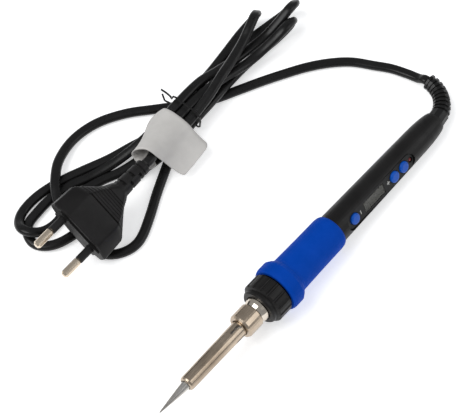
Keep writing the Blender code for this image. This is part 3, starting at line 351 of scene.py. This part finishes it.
DIFFUSER = moulded("diffuser", (0.55, 0.55, 0.52), 0.6)
PAPER = moulded("label paper", (0.52, 0.505, 0.485), 0.62, 0.00004, 1400.0, 0.0,
                specular=0.3, mottled=0.05)
LCD = moulded("display glass", (0.115, 0.115, 0.10), 0.25, 0.00001, wear=0.0)
FUSE = clear("fuse glass", (0.6, 0.62, 0.6), 0.08, 0.45)
WINDOW = clear("window", (0.10, 0.10, 0.088), 0.12, 0.45)

FINISHES = {
    "soldering_tip": TIP_PLATE, "barrel_tube": NICKEL, "barrel_nut": NICKEL,
    "threaded_collar": COLLAR_NICKEL, "heater_core": CERAMIC, "heater_holder": CERAMIC,
    "heater_lead_1": CERAMIC, "heater_lead_2": CERAMIC, "heater_lead_3": CERAMIC,
    "heater_lead_4": CERAMIC, "union_nut": BLACK, "grip_sleeve": SILICONE,
    "handle_shell": BLACK, "back_cover": BLACK, "cover_screw": SCREW,
    "control_panel": PANEL_GREY, "lcd_window": WINDOW, "lcd_glass": LCD,
    "lcd_backlight": DIFFUSER, "button_minus": KEY_BLUE, "button_plus": KEY_BLUE,
    "button_power": KEY_BLUE, "switch_body_minus": CHIP, "switch_body_plus": CHIP,
    "switch_body_power": CHIP, "switch_plunger_minus": CHIP, "switch_plunger_plus": CHIP,
    "switch_plunger_power": CHIP, "status_lamp": LAMP, "main_board": BOARD_GREEN,
    "controller_chip": CHIP, "power_triac": CHIP, "dropper_capacitor": YELLOW,
    "smoothing_capacitor": SLEEVE, "board_fuse": FUSE, "cord_clamp": BLACK,
    "clamp_screw": SCREW, "live_wire": BROWN, "neutral_wire": BLUE_CORE,
    "strain_relief": FLEX, "power_cord": FLEX, "twist_tie": FLEX, "cord_label": PAPER,
    "plug_body": PLUG_BLACK, "plug_bridge": PLUG_BLACK, "plug_pin_1": PIN_PLATE,
    "plug_pin_2": PIN_PLATE, "pin_sleeve_1": PLUG_BLACK, "pin_sleeve_2": PLUG_BLACK,
}
for node, finish in FINISHES.items():
    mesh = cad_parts[node].data
    mesh.materials.clear()
    mesh.materials.append(finish)


def add_piece(name, bm, finish, body="handle", node=None, smooth=True):
    """A new piece from a bmesh in the row frame, riding on a body."""
    bmesh.ops.recalc_face_normals(bm, faces=bm.faces)
    mesh = bpy.data.meshes.new(name)
    bm.to_mesh(mesh)
    bm.free()
    made = bpy.data.objects.new(name, mesh)
    bpy.context.scene.collection.objects.link(made)
    mesh.materials.append(finish)
    if smooth:
        mesh.shade_smooth()
    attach(made, body)
    if node:
        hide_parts(node)
    return made


# ---- lead ---------------------------------------------------------------------------
def smooth_path(points, count=0):
    """A dense Catmull-Rom curve through the points: a set count of steps between two of
    them, or else steps of about a millimetre."""
    line = [points[0] * 2 - points[1], *points, points[-1] * 2 - points[-2]]
    dense = []
    for before, one, two, after in zip(line, line[1:], line[2:], line[3:]):
        steps = count or max(2, math.ceil((two - one).length / CORD_STEP))
        for step in range(steps):
            t = step / steps
            dense.append(0.5 * (2 * one + (two - before) * t
                                + (2 * before - 5 * one + 4 * two - after) * t ** 2
                                + (3 * one - before - 3 * two + after) * t ** 3))
    return [*dense, points[-1]]


def boot_point(distance):
    """A place along the strain relief's middle line, in the iron's own millimetres."""
    along = min(distance, BOOT_STRAIGHT)
    angle = max(0.0, distance - BOOT_STRAIGHT) / BOOT_BEND_RADIUS
    sideways = BOOT_BEND_RADIUS * (1 - math.cos(angle))
    forward = along + BOOT_BEND_RADIUS * math.sin(angle)
    return Vector((HANDLE_REAR + BOOT_STANDOFF + forward, sideways, sideways * 0.04))


def flat_ring(bm, centre, along, wide, width, thickness):
    """Ring of the two-core lead's section: two rounded cores side by side."""
    up = wide.cross(along).normalized()
    ring = []
    core = thickness / 2
    reach = width / 2 - core
    for step in range(CORD_RING_POINTS):
        angle = 2 * math.pi * step / CORD_RING_POINTS
        side = math.copysign(reach, math.cos(angle)) if abs(math.cos(angle)) > 0.01 else 0.0
        waist = 1.0 - 0.07 * math.exp(-(math.cos(angle) / 0.22) ** 2)
        offset = wide * (side + core * math.cos(angle)) + up * core * waist * math.sin(angle)
        ring.append(bm.verts.new((centre + offset) * MM))
    return ring


def make_cord():
    """The flat lead along its route, from the strain relief to the plug's boot."""
    leave = (IRON @ (boot_point(BOOT_LENGTH + GAP) * MM)) / MM
    further = (IRON @ (boot_point(BOOT_LENGTH + GAP + 2.0) * MM)) / MM
    arrive = (PLUG @ Vector(((PLUG_BOOT_END + 0.5) * MM, 0, 0))) / MM
    dense = smooth_path([leave, further, *[Vector(p) for p in CORD_ROUTE], arrive])
    for point in dense:
        point.z = max(point.z - CORD_LOWERING, CORD_THICKNESS / 2 + CORD_FLOOR_GAP)
    for place in range(CORD_BLEND_PLACES):
        lift = CORD_LOWERING * (1 - place / CORD_BLEND_PLACES)
        dense[place].z += lift
        dense[-1 - place].z += lift
    bm = bmesh.new()
    rings = []
    level = Vector((0, 0, 1))
    count = len(dense)
    for place, point in enumerate(dense):
        along = (dense[min(place + 1, count - 1)] - dense[max(place - 1, 0)]).normalized()
        side = level.cross(along)
        if side.length < 0.05:
            side = previous
        side.normalize()
        if place and side.dot(previous) < 0:
            side = -side
        if place:
            side = (previous * 0.6 + side * 0.4)
            side = (side - along * side.dot(along)).normalized()
        previous = side
        rings.append(flat_ring(bm, point, along, side, CORD_WIDTH, CORD_THICKNESS))
    for near, far in zip(rings, rings[1:]):
        for place in range(CORD_RING_POINTS):
            following = (place + 1) % CORD_RING_POINTS
            bm.faces.new((near[place], near[following], far[following], far[place]))
    bm.faces.new(rings[0])
    bm.faces.new(rings[-1])
    cord = add_piece("flat_lead", bm, FLEX, node="power_cord")


# ---- plug ---------------------------------------------------------------------------
def corner_arc(before, corner, after, reach):
    """Four points round a corner of an outline."""
    start = corner + (before - corner).normalized() * min(reach, (before - corner).length / 2)
    end = corner + (after - corner).normalized() * min(reach, (after - corner).length / 2)
    arc = []
    for step in range(4):
        t = step / 3
        arc.append(start * (1 - t) ** 2 + corner * 2 * t * (1 - t) + end * t ** 2)
    return arc


def plug_outline(half_width, half_thick, flat_half, edge_half, reach):
    """The plug's eight-cornered outline, each corner rounded."""
    corners = [(flat_half, half_thick), (half_width, edge_half), (half_width, -edge_half),
               (flat_half, -half_thick), (-flat_half, -half_thick), (-half_width, -edge_half),
               (-half_width, edge_half), (-flat_half, half_thick)]
    points = [Vector(corner) for corner in corners]
    outline = []
    for place, corner in enumerate(points):
        outline += corner_arc(points[place - 1], corner, points[(place + 1) % 8], reach)
    return outline


# Stations of the moulding: distance from the face, half width, half thickness, half width
# of the raised flat, half height of the edge, rounding.
PLUG_STATIONS = [
    (0.0, 16.6, 6.1, 9.3, 2.2, 0.4), (0.5, 17.4, 6.7, 9.7, 2.5, 0.8),
    (12.2, 16.8, 6.8, 9.9, 2.4, 0.8), (13.6, 16.0, 6.8, 9.8, 2.4, 0.8),
    (15.2, 14.5, 6.7, 9.5, 2.4, 0.8), (21.5, 8.8, 6.1, 6.4, 2.7, 1.0),
    (24.0, 6.9, 5.6, 4.9, 2.7, 1.3), (27.2, 5.5, 5.0, 3.3, 2.5, 1.8),
    (28.4, 4.9, 4.7, 2.3, 2.1, 2.0), (29.2, 4.4, 4.3, 1.9, 1.8, 2.2),
    (42.2, 3.75, 3.75, 1.6, 1.6, 2.2), (42.6, 3.2, 3.2, 1.4, 1.4, 2.0),
    (43.2, 3.2, 3.2, 1.4, 1.4, 2.0), (43.4, 3.75, 3.75, 1.6, 1.6, 2.2),
    (45.6, 3.7, 3.7, 1.6, 1.6, 2.2), (46.0, 3.3, 3.3, 1.4, 1.4, 1.8),
]
RIB_PLACES = [14.9, 16.3, 17.7, 19.1, 20.5, 21.9, 23.3]
RIB_DEPTH = 0.28
SLOT_PLACES = [(30.6, 1), (33.6, -1), (36.6, 1), (39.6, -1)]
SLOT_WIDTH = 1.3
SLOT_DEPTH = 1.15


def station_at(place):
    """The stations' values, worked out at any distance from the face."""
    for near, far in zip(PLUG_STATIONS, PLUG_STATIONS[1:]):
        if near[0] <= place <= far[0]:
            share = (place - near[0]) / (far[0] - near[0])
            return [a + (b - a) * share for a, b in zip(near[1:], far[1:])]
    return list(PLUG_STATIONS[-1][1:])


def make_plug():
    """The plug's moulding: ribs across the raised middle and a slotted boot."""
    places = {station[0]: 0.0 for station in PLUG_STATIONS}
    for rib in RIB_PLACES:
        for offset, depth in ((0.0, 0.0), (0.22, RIB_DEPTH), (0.52, RIB_DEPTH), (0.74, 0.0)):
            places[rib + offset] = depth
    slots = {}
    for slot, side in SLOT_PLACES:
        for offset, depth in ((-0.12, 0.0), (0.0, SLOT_DEPTH), (SLOT_WIDTH, SLOT_DEPTH),
                              (SLOT_WIDTH + 0.12, 0.0)):
            places[slot + offset] = 0.0
            slots[slot + offset] = (side, depth)
    bm = bmesh.new()
    rings = []
    for place in sorted(places):
        half_width, half_thick, flat_half, edge_half, reach = station_at(place)
        outline = plug_outline(half_width, half_thick - places[place], flat_half, edge_half,
                               reach)
        side, depth = slots.get(place, (1, 0.0))
        ring = []
        for y, z in outline:
            cut = depth if y * side > 0.6 else 0.0
            shrink = 1.0 - cut / math.hypot(y, z)
            ring.append(bm.verts.new(PLUG @ (Vector((place, y * shrink, z * shrink)) * MM)))
        rings.append(ring)
    for near, far in zip(rings, rings[1:]):
        for place in range(len(near)):
            following = (place + 1) % len(near)
            bm.faces.new((near[place], near[following], far[following], far[place]))
    bm.faces.new(rings[0])
    bm.faces.new(rings[-1])
    plug = add_piece("plug_moulding", bm, PLUG_BLACK, node="plug_body")
    plug.data.set_sharp_from_angle(angle=math.radians(35))


# ---- label --------------------------------------------------------------------------
def make_label():
    """The paper flag, with rounded free corners and soft folds."""
    lines = [smooth_path([Vector(point) for point in line], FLAG_STEPS_ALONG)
             for line in FLAG_LINES]
    travelled = 0.0
    bm = bmesh.new()
    columns = []
    for place, (one, two, three) in enumerate(zip(*lines)):
        if place:
            travelled += (two - lines[1][place - 1]).length
        short = max(0.0, FLAG_CORNER - travelled)
        margin = (FLAG_CORNER - math.sqrt(FLAG_CORNER ** 2 - short ** 2)) / FLAG_WIDTH
        column = []
        for step in range(FLAG_STEPS_ACROSS + 1):
            t = margin + (1 - 2 * margin) * step / FLAG_STEPS_ACROSS
            point = one * (2 * (t - 0.5) * (t - 1)) + two * (4 * t * (1 - t)) \
                + three * (2 * t * (t - 0.5))
            column.append(bm.verts.new(point * MM))
        columns.append(column)
    for near, far in zip(columns, columns[1:]):
        for step in range(FLAG_STEPS_ACROSS):
            bm.faces.new((near[step], near[step + 1], far[step + 1], far[step]))
    label = add_piece("paper_flag", bm, PAPER, node="cord_label")
    thick = label.modifiers.new("paper", "SOLIDIFY")
    thick.thickness = FLAG_THICKNESS * MM
    thick.offset = 0.0


make_plug()
make_label()
make_cord()


# ---- marks on the panel ---------------------------------------------------------------
def bar(bm, centre, size):
    """A raised bar on the panel's film."""
    matrix = PANEL @ Matrix.Translation(Vector(centre) * MM) @ Matrix.Diagonal(
        (size[0] * MM, size[1] * MM, size[2] * MM, 1.0))
    bmesh.ops.create_cube(bm, size=1.0, matrix=matrix)


MARK_HEIGHT = 5.88
MARK_STROKE = 0.42
MARK_THICKNESS = 0.06
ARM_LENGTH = 0.79
ARM_OFFSET = 0.605

for name, place, crossed in (("minus_mark", 134.9, False), ("plus_mark", 155.9, True)):
    bm = bmesh.new()
    bar(bm, (place, 0, MARK_HEIGHT), (MARK_STROKE, 2.0, MARK_THICKNESS))
    if crossed:
        for side in (-ARM_OFFSET, ARM_OFFSET):
            bar(bm, (place + side, 0, MARK_HEIGHT), (ARM_LENGTH, MARK_STROKE, MARK_THICKNESS))
    add_piece(name, bm, MARK, smooth=False)
